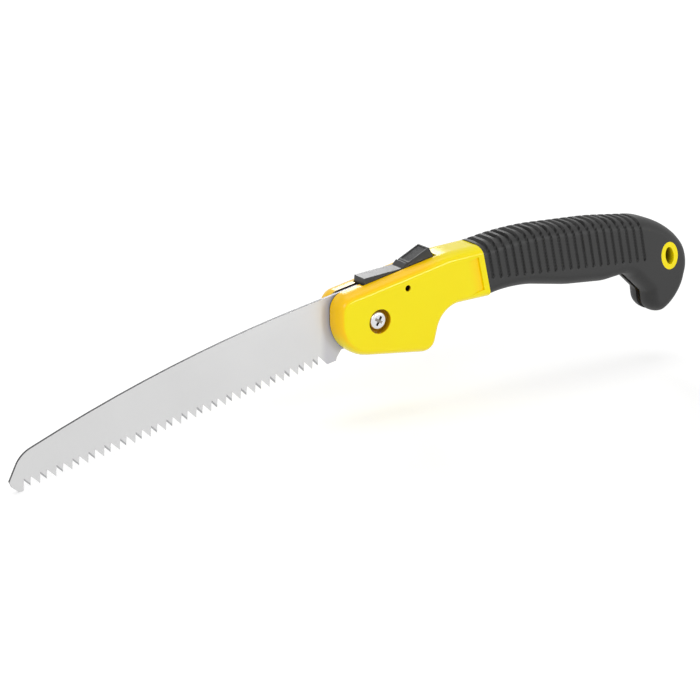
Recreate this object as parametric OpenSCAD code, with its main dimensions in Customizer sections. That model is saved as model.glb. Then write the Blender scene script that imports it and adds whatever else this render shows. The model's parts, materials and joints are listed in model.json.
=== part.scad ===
// Folding pruning saw with an overmoulded handle, a screwed blade pivot and a rocker lock.
// The pieces are drawn about the blade pivot: -X towards the blade, +Z to the spine side,
// -Y to the side with the screw head. The hanging hole is then set on the origin.

/* [Blade] */
// Distance from the pivot to the tip of the blade
blade_reach = 196; // [180:1:210]
// Thickness of the blade plate
blade_t = 1.4; // [1.0:0.1:1.6]
// Height of the spine above the pivot, square to the tooth line
spine_rise = 17.8; // [17.4:0.1:18.2]
// Depth of the tooth line below the pivot
tooth_drop = 14.8; // [14:0.1:15.4]
// Radius of the long curve of the spine
spine_r = 740; // [500:10:740]
// Angle that the blade points down when it is open
blade_droop = 11.4; // [10:0.1:13]
// Distance between two tooth points
tooth_pitch = 4.06; // [3.6:0.02:6]
// Depth of the gullets between the teeth
tooth_depth = 5.2; // [3:0.1:6]
// Angle of the file across the blade, which bevels every other tooth
file_angle = 34; // [15:1:38]
// Radius of the round tang that turns in the head
tang_r = 15; // [14:0.1:15.2]
// Angle through which the blade folds
fold_angle = 166; // [160:1:168]

/* [Pivot] */
// Diameter of the pivot screw
screw_d = 5; // [4:0.5:6]
// Diameter of the screw head
screw_head_d = 10; // [8:0.5:11]
// Height of the screw head
screw_head_h = 2.6; // [2:0.1:3.2]
// Wall of the pivot sleeve
sleeve_wall = 1.4; // [1:0.1:2]
// Depth to which each end of the sleeve is let into a cheek
sleeve_seat = 1; // [0.6:0.1:1.6]
// Outer diameter of the thrust washers
thrust_d = 16; // [12:0.5:20]
// Thickness of the thrust washers
thrust_t = 0.6; // [0.4:0.1:0.8]
// Width of the nut across its flats
nut_flats = 8; // [7:0.5:9]
// Height of the lock nut with its collar
nut_h = 4.6; // [4:0.1:5]
// Diameter of the round recess for the screw head
head_recess_d = 12.4; // [11.6:0.1:14]

/* [Head] */
// Thickness of the handle across the flat sides
handle_w = 22; // [21:0.5:26]
// Distance from the pivot to the front of the head
nose_reach = 23.1; // [22.4:0.1:26]
// Distance from the pivot down to the lower rear corner of the head
chin_drop = 22.1; // [21:0.1:26]
// Height of the head's top edge where it meets the grip
head_top = 27.7; // [26:0.1:30]
// Distance from the pivot back to the foot of the joint with the grip
joint_x = 67.3; // [60:0.5:75]
// Lean of the joint and of the grooves, towards the head at the top
lean = 14; // [5:1:20]
// Depth of the thumb recess beside the joint
thumb_recess = 0.9; // [0.3:0.1:1.2]

/* [Grip] */
// Height of the grip's crest above the pivot
crest_z = 33.9; // [32:0.1:37]
// Thickness of the rubber over the core
rubber_t = 2.8; // [2.2:0.1:3.2]
// Number of grooves over the grip
groove_count = 21; // [5:1:21]
// Distance from one groove to the next
groove_pitch = 5.03; // [4.5:0.01:5.1]
// Width of a groove
groove_w = 2.3; // [1.5:0.1:3]
// Depth of the grooves on the crest
groove_depth = 1.3; // [0.5:0.1:1.6]
// Height above the pivot at which the grooves run out
groove_end_z = 10; // [4:0.5:16]

/* [Hanging hole] */
// Length of the oval hole
hang_hole_l = 10; // [9:0.1:12]
// Width of the oval hole
hang_hole_w = 5.6; // [5:0.1:7]
// Wall of the ring round the hole
hang_ring_wall = 2.9; // [2:0.1:3.5]
// Distance from the hole's centre to the rear end of the handle
hang_inset = 15.9; // [14:0.1:18]
// Height of the hole's centre above the pivot
hang_up = 7.2; // [5:0.1:9]

/* [Lock lever] */
// Distance from the blade pivot back to the lever pin
lever_pin_x = 16.1; // [15.5:0.1:17]
// Height of the lever pin above the blade pivot
lever_pin_z = 14.4; // [14:0.1:15]
// Diameter of the lever pin
lever_pin_d = 2.4; // [2:0.1:3]
// Diameter of the drilled recess round each end of the pin
pin_recess_d = 3.2; // [3.1:0.1:4]
// Width of the lever
lever_w = 9; // [8.6:0.1:10]
// Length of the lever's arm from its pin to the front
arm_l = 21.7; // [21:0.1:22.5]
// Length of the thumb pad's run from the pin to its crest
pad_l = 16.1; // [15:0.1:18]
// Height of the thumb pad's crest above the pin
pad_h = 16.9; // [16:0.1:19]
// Angle through which the lever drops into a notch
lever_drop = 7.5; // [6:0.1:7.5]

/* [Lever spring] */
// Outer diameter of the coil
spring_d = 5.6; // [4.5:0.1:5.8]
// Diameter of the spring's wire
wire_d = 0.7; // [0.5:0.05:0.9]
// Number of turns
spring_turns = 4; // [3:1:6]
// Distance of the spring's axis ahead of the thumb pad's crest
spring_ahead = 4.7; // [4.1:0.1:5.1]

/* [Clearances] */
// Gap between the blade and each side of its slot
slot_gap = 0.7; // [0.6:0.05:1]
// Gap between the blade tip and the end of the slot
tip_gap = 1.2; // [1:0.1:2]
// Running clearance of a shaft in its bore, on the radius
run_gap = 0.05; // [0.02:0.01:0.1]
// Clearance of the screw and the nut in the handle, on the radius
fit_gap = 0.1; // [0.05:0.01:0.2]
// Gap round the lever in its pocket
lever_gap = 0.4; // [0.3:0.05:0.6]

/* [Hidden] */
$fn = 96;
eps = 0.01;
far = 60;

half_w = handle_w / 2;
slot_w = blade_t + 2 * slot_gap;
rear_wall = 4.4;
rubber_side_t = rubber_t + 1.4;
core_half_w = half_w - rubber_side_t;
rear_x = blade_reach + tip_gap + rear_wall;
hang_x = rear_x - hang_inset;
screw_r = screw_d / 2;
sleeve_r = screw_r + run_gap + sleeve_wall;
head_below = 0.9;
screw_seat_y = -half_w + screw_head_h + head_below;
nut_below = 0.4;
nut_seat_y = half_w - nut_h - nut_below;
pin_recess_h = 3;
joint_foot_z = 1.7;

// Roundings of the two mouldings: how far the edge runs in from the outline and across the side.
head_edge_in = 4;
head_edge_y = 6.5;
grip_edge_in = 6;
grip_edge_y = 8;

// ---- Outlines: corners are [x, z, radius], counter-clockwise with +X right and +Z up ----

function unit(v) = v / norm(v);
function inward(a, b) = let (d = unit(b - a)) [-d.y, d.x];
function turned(v, angle) = [v.x * cos(angle) - v.y * sin(angle), v.x * sin(angle) + v.y * cos(angle)];
function at(corners, i) = let (c = corners[(i + len(corners)) % len(corners)]) [c.x, c.y];
function cross_z(a, b) = a.x * b.y - a.y * b.x;

// A corner moved inwards with its two edges
function moved(corners, i, inset) = let (
    n1 = inward(at(corners, i - 1), at(corners, i)),
    n2 = inward(at(corners, i), at(corners, i + 1))
) at(corners, i) + inset * (n1 + n2) / (1 + n1 * n2);

// The arc that rounds corner p between its neighbours a and b
function arc(a, p, b, r, steps) = let (
    u = unit(a - p),
    v = unit(b - p),
    half = acos(u * v) / 2,
    centre = p + unit(u + v) * r / sin(half),
    start = p + u * r / tan(half) - centre,
    way = sign(cross_z(p - a, b - p))
) [for (k = [0:steps]) centre + turned(start, way * (180 - 2 * half) * k / steps)];

// The closed outline, moved inwards; the radii shrink or grow with it
function outline(corners, inset = 0, steps = 6) = [
    for (i = [0:len(corners) - 1]) let (
        a = moved(corners, i - 1, inset),
        p = moved(corners, i, inset),
        b = moved(corners, i + 1, inset),
        bulges = cross_z(p - a, b - p) > 0,
        r = corners[i][2] + (bulges ? -inset : inset)
    ) each corners[i][2] == 0 ? [p] : arc(a, p, b, max(r, 0.3), steps)
];

// A plate: a flat outline in X and Z with its thickness in Y
module plate(points, thickness) {
    rotate([90, 0, 0]) linear_extrude(thickness, center = true) polygon(points);
}

// A moulded slab with both edges rounded over a quarter ellipse
module rounded_slab(corners, half_width, edge_in, edge_y, inset = 0, rounds = 4, steps = 6) {
    flat = half_width - edge_y;
    quarter = [for (k = [0:rounds]) 90 * k / rounds];
    far_rim = [for (a = quarter) [flat + edge_y * sin(a), edge_in * (1 - cos(a))]];
    near_rim = [for (k = [rounds:-1:0]) [-far_rim[k][0], far_rim[k][1]]];
    rings = [for (level = concat(near_rim, far_rim))
        [for (q = outline(corners, inset + level[1], steps)) [q.x, level[0], q.y]]];
    n = len(rings[0]);
    top = len(rings) - 1;
    polyhedron(
        points = [for (ring = rings) each ring],
        faces = concat(
            [[for (i = [n - 1:-1:0]) i]],
            [for (k = [0:top - 1]) for (i = [0:n - 1]) let (j = (i + 1) % n, a = k * n, b = (k + 1) * n)
                each [[a + i, a + j, b + j], [a + i, b + j, b + i]]],
            [[for (i = [0:n - 1]) top * n + i]]
        )
    );
}

// A round bar along Y from y1 to y2 at [x, z]
module bar(x, z, r, y1, y2) {
    translate([x, y1, z]) rotate([-90, 0, 0]) cylinder(r = r, h = y2 - y1);
}

module at_hole() {
    translate([-hang_x, 0, -hang_up]) children();
}

head_corners = [
    [-nose_reach, -chin_drop + 6.6, 20],
    [33.7, -chin_drop, 7.5],
    [38.8, 0.5, 13.5],
    [joint_x + 20, 2.4, 0],
    [joint_x + 20, head_top + 3.3, 0],
    [41, head_top, 80],
    [-nose_reach, head_top - 13.7, 8.5]
];

grip_corners = [
    [joint_x - 20, -2.3, 0],
    [joint_x + 17, 5, 70],
    [joint_x + 51, -0.3, 68],
    [rear_x - 58.7, -2, 29],
    [rear_x - 41.9, 0, 9.5],
    [rear_x - 27.6, -12.5, 1.5],
    [rear_x - 24.9, -25.6, 9.2],
    [rear_x - 15.7, -24.8, 3],
    [rear_x - 3.9, -18.4, 24],
    [rear_x + 1.3, 6.6, 19],
    [rear_x - 18.2, crest_z - 5.8, 45],
    [rear_x - 63, crest_z - 1.4, 150],
    [joint_x + 19.4, crest_z, 159],
    [joint_x - 20, crest_z - 6.4, 0]
];

// ---- Blade outline: [u, v] with u along the tooth line away from the pivot, v to the spine ----

heel_u = 31;
tooth_lean = 1;
gullet_v = -tooth_drop + tooth_depth;
function on_blade(p) = [-p.x * cos(blade_droop) - p.y * sin(blade_droop),
                        -p.x * sin(blade_droop) + p.y * cos(blade_droop)];
function folded(p) = turned(p, fold_angle);

toe_u = blade_reach - 3.3;
toe_l = 3;
tooth_count = 2 * floor((toe_u - toe_l - heel_u - tooth_pitch) / (2 * tooth_pitch)) + 1;
spine_end_u = 2.8;
notch_front_x = lever_pin_x - arm_l - 0.7;
spine_corners = [
    [blade_reach - 87.8, spine_rise, spine_r],
    [blade_reach - 8.3, 1.9, 14]
];
tip = [blade_reach - 0.2, -8.7];
toe_corner = [blade_reach - 0.7, -11.6];
toe_below = 0.5;
heel_block_l = 8.7;
heel_below = 0.8;
heel_v = -tooth_drop - heel_below;
heel_rear_corner = [heel_u - 9.6, heel_v + 1.6];
heel_neck = [heel_u - 12.6, -11];
tip_flat = 0.1;
tip_shift = blade_t / 2 * tan(file_angle) - tip_flat / 2;

// ---- Lever outline: [x, z] about its pin, in the raised pose ----

nose_l = 4.8;
nose_z = 1.0;
pad_front_x = 4.3;
pad_front_z = 10.8;
lever_profile = [
    [-arm_l, nose_z],
    [-arm_l + nose_l, nose_z],
    [-arm_l + nose_l + 0.3, 3.1],
    [-5.5, 3.4],
    [-2.9, -1.3],
    [2.9, 1.3],
    [5.5, 4.6],
    [pad_l + 4.1, 7.2],
    [pad_l + 3.4, 11.3],
    [pad_l + 0.7, pad_h - 0.4],
    [pad_l, pad_h],
    [pad_front_x, pad_front_z],
    [pad_front_x - 0.5, pad_front_z - 0.8],
    [pad_front_x - 1.1, pad_front_z],
    [pad_front_x - 1.5, pad_front_z - 0.2],
    [0.7, 8.5],
    [-arm_l + 0.3, 6.4]
];
hub_r = 3.2;
spring_floor_x = 5.3;
spring_floor_z = 3.4;
spring_top_z = 11.3;
spring_bore_r = spring_d / 2 + 0.5;
spring_back = pad_l - spring_ahead;
function from_pin(p) = [p.x + lever_pin_x, p.y + lever_pin_z];
function dropped(p) = from_pin(turned(p, lever_drop));

// ---- Spaces cut from the handle ----

// The blade's slot: open in front and below, closed above the folded teeth and behind the tip
slot_end_r = blade_reach + tip_gap;
fold_heel = folded(on_blade([heel_u, -tooth_drop]));
fold_toe = folded(on_blade([toe_u, -tooth_drop]));
slot_rise = 1.6;
slot_rear_x = lever_pin_x - hub_r - lever_gap;
slot_outline = concat(
    [[-far, far], [slot_rear_x, far], [slot_rear_x, fold_heel.y + slot_rise]],
    [fold_heel + [0, slot_rise], fold_toe + [0, slot_rise]],
    [for (a = [1:-1:-8]) slot_end_r * [cos(a), sin(a)]],
    [[slot_end_r, -far], [-far, -far]]
);

// The lever's pocket in the top of the head
nose_floor = dropped([-arm_l, nose_z]).y - lever_gap;
pocket_outline = [
    [lever_pin_x - arm_l - 0.8, far],
    [lever_pin_x - arm_l - 0.8, nose_floor],
    [lever_pin_x - arm_l + nose_l + 0.8, nose_floor],
    [lever_pin_x - arm_l + nose_l + 0.8, lever_pin_z - 0.6],
    [lever_pin_x + 3, lever_pin_z - 0.6],
    [lever_pin_x + 3, lever_pin_z + 0.9],
    [lever_pin_x + spring_floor_x, lever_pin_z + 0.9],
    [lever_pin_x + spring_floor_x, lever_pin_z + spring_floor_z],
    [lever_pin_x + pad_l + 5, lever_pin_z + spring_floor_z],
    [lever_pin_x + pad_l + 5, far]
];

// The half of space in front of the leaning joint
joint_outline = [
    [-far, far],
    [joint_x - (far - joint_foot_z) * tan(lean), far],
    [joint_x + (far + joint_foot_z) * tan(lean), -far],
    [-far, -far]
];

module hang_oval(grow, thickness) {
    tilt = 16;
    half = [hang_hole_w / 2 + grow, hang_hole_l / 2 + grow];
    plate([for (k = [0:39]) let (a = 9 * k)
        [hang_x, hang_up] + turned([half.x * cos(a), half.y * sin(a)], tilt)], thickness);
}

module blade_slot(width) {
    plate(slot_outline, width);
}

// ---- Handle ----

// Yellow core: both cheeks of the head, the bar inside the grip and the ring of the hanging hole
module handle_core() {
    color("gold") at_hole() difference() {
        union() {
            intersection() {
                rounded_slab(head_corners, half_w, head_edge_in, head_edge_y, 0, 6, 10);
                plate(joint_outline, 2 * handle_w);
            }
            plate(outline(grip_corners, rubber_t), 2 * core_half_w);
            hang_oval(hang_ring_wall, handle_w);
        }
        blade_slot(slot_w);
        plate(pocket_outline, lever_w + 2 * lever_gap);
        bar(lever_pin_x, lever_pin_z, hub_r + lever_gap, -lever_w / 2 - lever_gap, lever_w / 2 + lever_gap);
        hang_oval(0, 2 * handle_w);
        // screw hole, recess for the screw head, seats of the sleeve and pocket of the nut
        bar(0, 0, screw_r + fit_gap, -far, far);
        bar(0, 0, head_recess_d / 2, -far, screw_seat_y);
        bar(0, 0, sleeve_r, -slot_w / 2 - sleeve_seat, slot_w / 2 + sleeve_seat);
        translate([0, nut_seat_y, 0]) rotate([-90, 0, 0])
            cylinder(d = (nut_flats + 2 * fit_gap) / cos(30), h = far, $fn = 6);
        // lever pin hole with a recess at each end
        bar(lever_pin_x, lever_pin_z, lever_pin_d / 2, -far, far);
        bar(lever_pin_x, lever_pin_z, pin_recess_d / 2, -far, -half_w + pin_recess_h);
        bar(lever_pin_x, lever_pin_z, pin_recess_d / 2, half_w - pin_recess_h, far);
        for (side = [-1, 1]) thumb_wedge(side);
    }
}

// Shallow ramp beside the joint: deepest at the rear, fading out to the front
module thumb_wedge(side) {
    ramp_l = 10;
    ramp_h = 18;
    ramp_rear = 4.5;
    ramp_foot = 5;
    translate([joint_x - ramp_rear, side * half_w, joint_foot_z + ramp_foot]) rotate([0, -lean, 0])
        linear_extrude(ramp_h) polygon([[-ramp_l, 0], [0, -side * thumb_recess], [0, side], [-ramp_l, side]]);
}

// Black rubber moulded over the core, with grooves that lean with the joint
module rubber_grip() {
    flank_depth = 0.8;
    slot_lip = 0.3;
    color("#3e3e3c") at_hole() difference() {
        union() {
            difference() {
                rounded_slab(grip_corners, half_w, grip_edge_in, grip_edge_y);
                for (i = [0:groove_count - 1]) groove(i);
            }
            rounded_slab(grip_corners, half_w - flank_depth, grip_edge_in, grip_edge_y, groove_depth, 3, 4);
        }
        plate(joint_outline, 2 * handle_w);
        plate(outline(grip_corners, rubber_t), 2 * core_half_w);
        blade_slot(slot_w + 2 * slot_lip);
        hang_oval(hang_ring_wall, 2 * handle_w);
    }
}

// One groove: a round-ended cutter that leans with the joint and reaches over the crest
module groove(i) {
    r = groove_w / 2;
    first = 1.2;
    translate([joint_x + first + i * groove_pitch, 0, groove_end_z]) rotate([0, -lean, 0]) hull() {
        rotate([90, 0, 0]) cylinder(r = r, h = 2 * handle_w, center = true, $fn = 8);
        translate([0, 0, far]) rotate([90, 0, 0]) cylinder(r = r, h = 2 * handle_w, center = true, $fn = 8);
    }
}

// ---- Blade ----

module saw_blade() {
    spine_points = [for (c = [0:1]) each arc(
        c == 0 ? [spine_end_u, spine_rise] : [spine_corners[0].x, spine_corners[0].y],
        [spine_corners[c].x, spine_corners[c].y],
        c == 0 ? [spine_corners[1].x, spine_corners[1].y] : tip,
        spine_corners[c][2], 10)];
    toe_points = [
        tip, toe_corner,
        [toe_u, -tooth_drop],
        [toe_u - 1.1, -tooth_drop - toe_below],
        [toe_u - 2, -tooth_drop - toe_below],
        [toe_u - toe_l, -tooth_drop]
    ];
    heel_points = [
        [heel_u, -tooth_drop],
        [heel_u, heel_v],
        [heel_u - heel_block_l, heel_v],
        heel_rear_corner, heel_neck
    ];
    blade_points = concat([[spine_end_u, spine_rise]], spine_points, toe_points, heel_points);
    color("silver") at_hole() difference() {
        union() {
            plate(concat([for (p = blade_points) on_blade(p)], [[-7, -13.2], [0, 0]]), blade_t);
            bar(0, 0, tang_r, -blade_t / 2, blade_t / 2);
        }
        for (i = [0:tooth_count]) gullet(i);
        for (turn = [0, -fold_angle]) plate(notch(turn), 2 * blade_t);
        bar(0, 0, sleeve_r + run_gap, -blade_t, blade_t);
    }
}

// The notch that the lever's nose drops into, turned about the pivot
function notch(turn) = [for (p = [
    [notch_front_x, dropped([-arm_l, nose_z]).y - lever_gap],
    [lever_pin_x - arm_l + nose_l + lever_gap, dropped([-arm_l, nose_z]).y - lever_gap],
    [lever_pin_x - arm_l + nose_l + lever_gap, far],
    [notch_front_x, far]
]) turned(p, turn)];

// A gullet filed slantwise through the tooth line; the teeth lean towards the handle, and each
// comes to its point at the side of the blade that the file leaves whole
module gullet(i) {
    reach = 1.3;
    across = cos(file_angle);
    rotate([0, -blade_droop, 0]) translate([-heel_u - i * tooth_pitch, 0, gullet_v])
        rotate([0, 0, i % 2 == 0 ? -file_angle : file_angle])
            plate([
                [0, 0],
                reach * [-across * (tooth_lean + tip_shift), -tooth_depth],
                reach * [across * (tooth_pitch - tooth_lean + tip_shift), -tooth_depth]
            ], 6 * blade_t);
}

// ---- Pivot ----

// Pan head screw, its cross recess cut into a domed head
module pivot_screw() {
    dome_r = 9;
    cross_l = 6;
    cross_w = 1.2;
    cross_depth = 1.8;
    crown_y = screw_seat_y - screw_head_h;
    color("whitesmoke") at_hole() difference() {
        union() {
            bar(0, 0, screw_r, screw_seat_y, half_w - nut_below);
            intersection() {
                bar(0, 0, screw_head_d / 2, crown_y, screw_seat_y);
                translate([0, crown_y + dome_r, 0]) sphere(dome_r);
            }
        }
        for (turn = [45, 135]) rotate([0, turn, 0]) translate([-cross_l / 2, crown_y - 1, -cross_w / 2])
            cube([cross_l, cross_depth + 1, cross_w]);
        translate([0, crown_y - eps, 0]) rotate([-90, 0, 0])
            cylinder(r1 = 1.6, r2 = 0.6, h = cross_depth + 0.4);
    }
}

module pivot_sleeve() {
    half_l = slot_w / 2 + sleeve_seat;
    color("silver") at_hole() difference() {
        bar(0, 0, sleeve_r, -half_l, half_l);
        bar(0, 0, screw_r + run_gap, -half_l - 1, half_l + 1);
    }
}

module thrust_washer(side) {
    color("ivory") at_hole() translate([0, side * (slot_w - thrust_t) / 2, 0]) difference() {
        bar(0, 0, thrust_d / 2, -thrust_t / 2, thrust_t / 2);
        bar(0, 0, sleeve_r, -thrust_t, thrust_t);
    }
}

module thrust_washer_near() { thrust_washer(-1); }
module thrust_washer_far() { thrust_washer(1); }

lock_ring_t = 1.2;
lock_ring_r = screw_r + 0.9;

// Lock nut: hexagon with a round collar that holds the lock ring
module pivot_nut() {
    nut_end_y = nut_seat_y + nut_h;
    collar_in = 0.3;
    color("silver") at_hole() difference() {
        union() {
            translate([0, nut_seat_y, 0]) rotate([-90, 0, 0])
                cylinder(d = nut_flats / cos(30), h = nut_h - lock_ring_t, $fn = 6);
            bar(0, 0, nut_flats / 2 - collar_in, nut_seat_y, nut_end_y);
        }
        bar(0, 0, screw_r, nut_seat_y - 1, nut_end_y + 1);
        bar(0, 0, lock_ring_r, nut_end_y - lock_ring_t, nut_end_y + 1);
    }
}

module nut_lock_ring() {
    ring_y = nut_seat_y + nut_h;
    color("royalblue") at_hole() difference() {
        bar(0, 0, lock_ring_r, ring_y - lock_ring_t, ring_y);
        bar(0, 0, screw_r, ring_y - 2 * lock_ring_t, ring_y + 1);
    }
}

// ---- Lock lever ----

module lock_lever() {
    pad_slope = atan((pad_h - pad_front_z) / (pad_l - pad_front_x));
    pad_run = norm([pad_l - pad_front_x, pad_h - pad_front_z]);
    frame = 0.8;
    frame_depth = 0.4;
    color("#2a2a2c") at_hole() translate([lever_pin_x, 0, lever_pin_z]) difference() {
        union() {
            plate(lever_profile, lever_w);
            bar(0, 0, hub_r, -lever_w / 2, lever_w / 2);
        }
        bar(0, 0, lever_pin_d / 2 + run_gap, -lever_w, lever_w);
        translate([spring_back, 0, -5]) cylinder(r = spring_bore_r, h = spring_top_z + 5);
        translate([pad_front_x, 0, pad_front_z]) rotate([0, -pad_slope, 0])
            translate([frame, -lever_w / 2 + frame, -frame_depth])
                cube([pad_run - 2 * frame, lever_w - 2 * frame, 3]);
    }
}

module lever_pin() {
    pin_below = pin_recess_h + 0.3;
    color("gainsboro") at_hole()
        bar(lever_pin_x, lever_pin_z, lever_pin_d / 2, -half_w + pin_below, half_w - pin_below);
}

// Coil between the pocket's floor and the lever, at its length with the lever raised
module lever_spring() {
    coil_r = (spring_d - wire_d) / 2;
    low = spring_floor_z + wire_d / 2 + eps;
    rise = spring_top_z - wire_d / 2 - eps - low;
    steps = 16 * spring_turns;
    sides = 8;
    centre = [for (k = [0:steps]) let (a = 360 * k / 16)
        [coil_r * cos(a), coil_r * sin(a), low + rise * k / steps]];
    ring = [for (k = [0:steps]) for (s = [0:sides - 1]) let (a = 360 * k / 16, b = 360 * s / sides)
        centre[k] + wire_d / 2 * [cos(b) * cos(a), cos(b) * sin(a), sin(b)]];
    color("silver") at_hole() translate([lever_pin_x + spring_back, 0, lever_pin_z]) polyhedron(
        points = ring,
        faces = concat(
            [[for (s = [0:sides - 1]) s]],
            [for (k = [0:steps - 1]) for (s = [0:sides - 1]) let (t = (s + 1) % sides)
                each [[k * sides + s, (k + 1) * sides + s, (k + 1) * sides + t],
                      [k * sides + s, (k + 1) * sides + t, k * sides + t]]],
            [[for (s = [sides - 1:-1:0]) steps * sides + s]]
        )
    );
}

handle_core();
rubber_grip();
saw_blade();
pivot_screw();
pivot_sleeve();
thrust_washer_near();
thrust_washer_far();
pivot_nut();
nut_lock_ring();
lock_lever();
lever_pin();
lever_spring();
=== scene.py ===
import json
import math
import bpy
from mathutils import Matrix, Vector
from mathutils.bvhtree import BVHTree

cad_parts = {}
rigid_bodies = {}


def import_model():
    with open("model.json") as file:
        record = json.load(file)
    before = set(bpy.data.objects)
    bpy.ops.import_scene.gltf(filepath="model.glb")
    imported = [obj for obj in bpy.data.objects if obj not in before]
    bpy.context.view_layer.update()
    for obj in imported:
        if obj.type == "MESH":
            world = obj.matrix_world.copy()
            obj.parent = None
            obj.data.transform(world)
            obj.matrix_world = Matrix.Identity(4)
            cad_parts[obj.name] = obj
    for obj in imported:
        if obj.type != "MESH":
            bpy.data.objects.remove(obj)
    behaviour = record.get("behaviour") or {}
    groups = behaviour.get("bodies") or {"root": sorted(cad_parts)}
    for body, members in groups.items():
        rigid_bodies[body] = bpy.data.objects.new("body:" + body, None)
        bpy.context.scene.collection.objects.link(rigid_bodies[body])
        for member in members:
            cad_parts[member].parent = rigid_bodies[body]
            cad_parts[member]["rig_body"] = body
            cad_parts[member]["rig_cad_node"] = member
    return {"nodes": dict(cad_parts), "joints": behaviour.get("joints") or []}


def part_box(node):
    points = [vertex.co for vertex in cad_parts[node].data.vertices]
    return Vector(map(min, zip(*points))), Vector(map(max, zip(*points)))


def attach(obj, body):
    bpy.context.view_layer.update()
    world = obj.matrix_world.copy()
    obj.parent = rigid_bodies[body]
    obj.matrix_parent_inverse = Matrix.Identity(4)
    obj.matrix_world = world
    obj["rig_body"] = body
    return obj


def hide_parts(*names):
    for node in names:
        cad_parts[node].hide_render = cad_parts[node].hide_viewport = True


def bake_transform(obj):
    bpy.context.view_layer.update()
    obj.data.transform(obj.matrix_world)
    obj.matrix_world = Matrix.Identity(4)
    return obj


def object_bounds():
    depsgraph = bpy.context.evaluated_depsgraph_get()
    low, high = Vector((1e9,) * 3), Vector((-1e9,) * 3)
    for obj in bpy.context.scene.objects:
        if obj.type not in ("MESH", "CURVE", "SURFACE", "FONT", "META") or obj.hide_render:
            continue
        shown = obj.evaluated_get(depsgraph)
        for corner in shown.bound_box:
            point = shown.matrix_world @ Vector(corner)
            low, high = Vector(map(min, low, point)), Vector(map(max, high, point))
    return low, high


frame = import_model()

cad_box = [list(corner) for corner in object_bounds()]
bpy.ops.object.select_all(action="DESELECT")

# ---- The photograph and its camera ----
# The open saw fills the picture from the blade's toe at the lower left to the hooked end of the
# handle at the upper right. The camera looks down on it from its front left, through a long lens.

W = H = 700
left_x = 8.6
right_x = 686.5
top_y = 213.5
bottom_y = 492.0
points = {
    "blade_tip": (9.2, 482.5),
    "heel_tooth": (311.1, 369.7),
    "head_front": (329.9, 318.9),
    "pivot_screw": (380.2, 321.0),
    "lever_pin": (408.2, 288.2),
    "lever_nose": (355.3, 275.6),
    "thumb_crest": (417.5, 244.1),
    "grip_front": (463.0, 241.3),
    "first_groove_foot": (493.7, 278.8),
    "last_groove_foot": (645.2, 261.2),
    "hook_foot": (658.8, 311.4),
    "hanging_hole": (669.7, 255.6),
}

MM = 0.001
azimuth = math.radians(-32.6)
elevation = math.radians(18.1)
roll = math.radians(0.41)
distance = 902.8 * MM
aim = Vector((-195.97, 0, -23.03)) * MM
lens = 94.7

back = Vector((
    math.sin(azimuth) * math.cos(elevation),
    -math.cos(azimuth) * math.cos(elevation),
    math.sin(elevation),
))
bpy.ops.object.camera_add(location=aim + back * distance)
camera = bpy.context.object
camera.name = "camera"
turn = (-back).to_track_quat("-Z", "Y").to_matrix() @ Matrix.Rotation(roll, 3, "Z")
camera.rotation_euler = turn.to_euler()
camera.data.sensor_fit = "AUTO"
camera.data.lens = lens
camera.data.clip_start = 0.05
camera.data.clip_end = 20
bpy.context.scene.camera = camera
bpy.context.view_layer.update()


def sight_line(point):
    """The camera's place, and the direction in which an image point lies."""
    long_side = max(W, H)
    ray = Vector((
        point[0] - W / 2 + camera.data.shift_x * long_side,
        H / 2 - point[1] + camera.data.shift_y * long_side,
        -long_side * camera.data.lens / camera.data.sensor_width,
    ))
    return camera.matrix_world.translation, (camera.matrix_world.to_3x3() @ ray).normalized()


def place_on(carrier, point):
    """Where the sight line through an image point meets a finished piece, or comes nearest to it."""
    eye, way = sight_line(point)
    met = BVHTree.FromObject(carrier, bpy.context.evaluated_depsgraph_get()).ray_cast(eye, way)[0]
    if met:
        return met
    return min((carrier.matrix_world @ v.co for v in carrier.data.vertices),
               key=lambda place: (place - eye).cross(way).length)


def seen_at(place):
    """The image point at which a place shows."""
    long_side = max(W, H)
    spot = camera.matrix_world.inverted() @ Vector(place)
    scale = long_side * camera.data.lens / camera.data.sensor_width / -spot.z
    return Vector((
        W / 2 + spot.x * scale - camera.data.shift_x * long_side,
        H / 2 - spot.y * scale + camera.data.shift_y * long_side,
    ))


# ---- The core of the handle ----
# One moulding in glossy yellow ABS: the two cheeks that hold the blade and the lever, the bar
# inside the rubber and the ring of the hanging hole. Its edges have the small radius of the mould.

pivot = Vector(next(joint["pos_m"] for joint in frame["joints"] if joint["name"] == "blade_fold"))
lever_axis = Vector(next(joint["pos_m"] for joint in frame["joints"] if joint["name"] == "lever_rock"))
hanging_hole = Vector((0, 0, 0))
side_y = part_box("handle_core")[1].y
slot_half = 1.4 * MM
slot_shade_width = 0.6 * MM
head_rear_x = lever_axis.x + 8 * MM
lemon_rim_x = lever_axis.x + 26 * MM
thumb_step_x = lever_axis.x + 34 * MM
thumb_recess_depth = 1.3 * MM
flush_depth = 0.1 * MM


def linear(colour):
    """An sRGB hex colour as the linear colour that a socket takes."""
    parts = [int(colour[k:k + 2], 16) / 255 for k in (1, 3, 5)]
    return [p / 12.92 if p <= 0.04045 else ((p + 0.055) / 1.055) ** 2.4 for p in parts] + [1.0]


def add(material, kind, inputs=None, **settings):
    """Adds a node with its settings; an input is given as a value or as the output that feeds it."""
    node = material.node_tree.nodes.new(kind)
    for name, value in settings.items():
        setattr(node, name, value)
    for name, value in (inputs or {}).items():
        if isinstance(value, bpy.types.NodeSocket):
            material.node_tree.links.new(value, node.inputs[name])
        else:
            node.inputs[name].default_value = value
    return node


def blank_material(name):
    material = bpy.data.materials.new(name)
    material.use_nodes = True
    material.node_tree.nodes.clear()
    return material


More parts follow.
